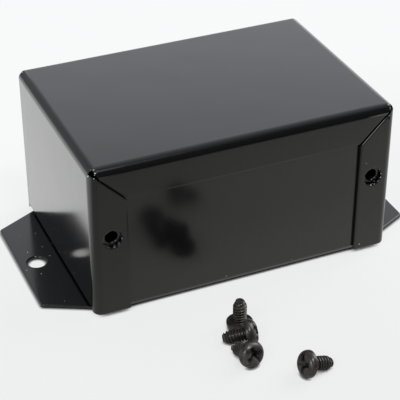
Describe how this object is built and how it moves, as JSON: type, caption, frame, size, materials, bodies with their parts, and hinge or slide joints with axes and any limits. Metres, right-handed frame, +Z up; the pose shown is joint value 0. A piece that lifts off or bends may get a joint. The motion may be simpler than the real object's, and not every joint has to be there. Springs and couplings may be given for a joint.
{
  "type": "aluminium enclosure",
  "caption": "Folded sheet aluminium enclosure: a lift-off cover with mitred flanges over a channel base with mounting wings, and its pan-head cover screws.",
  "frame": {"origin": "middle of the underside of the base, where the enclosure rests", "axes": "+X to the right along the front, from wing to wing; +Y from the front to the back; +Z up, the way the cover lifts off"},
  "size_m": [0.1046, 0.0999, 0.0432],
  "materials": {
    "black_enamel": "gloss",
    "black_steel": "satin"
  },
  "bodies": {
    "base": {"base": "black_enamel", "cover_screws": "black_steel"},
    "cover": {"cover": "black_enamel"}
  },
  "joints": [
    {"name": "cover_lift", "type": "slide", "parent": "base", "child": "cover", "axis": [0, 0, 1], "range_m": [0, 0.05]}
  ]
}
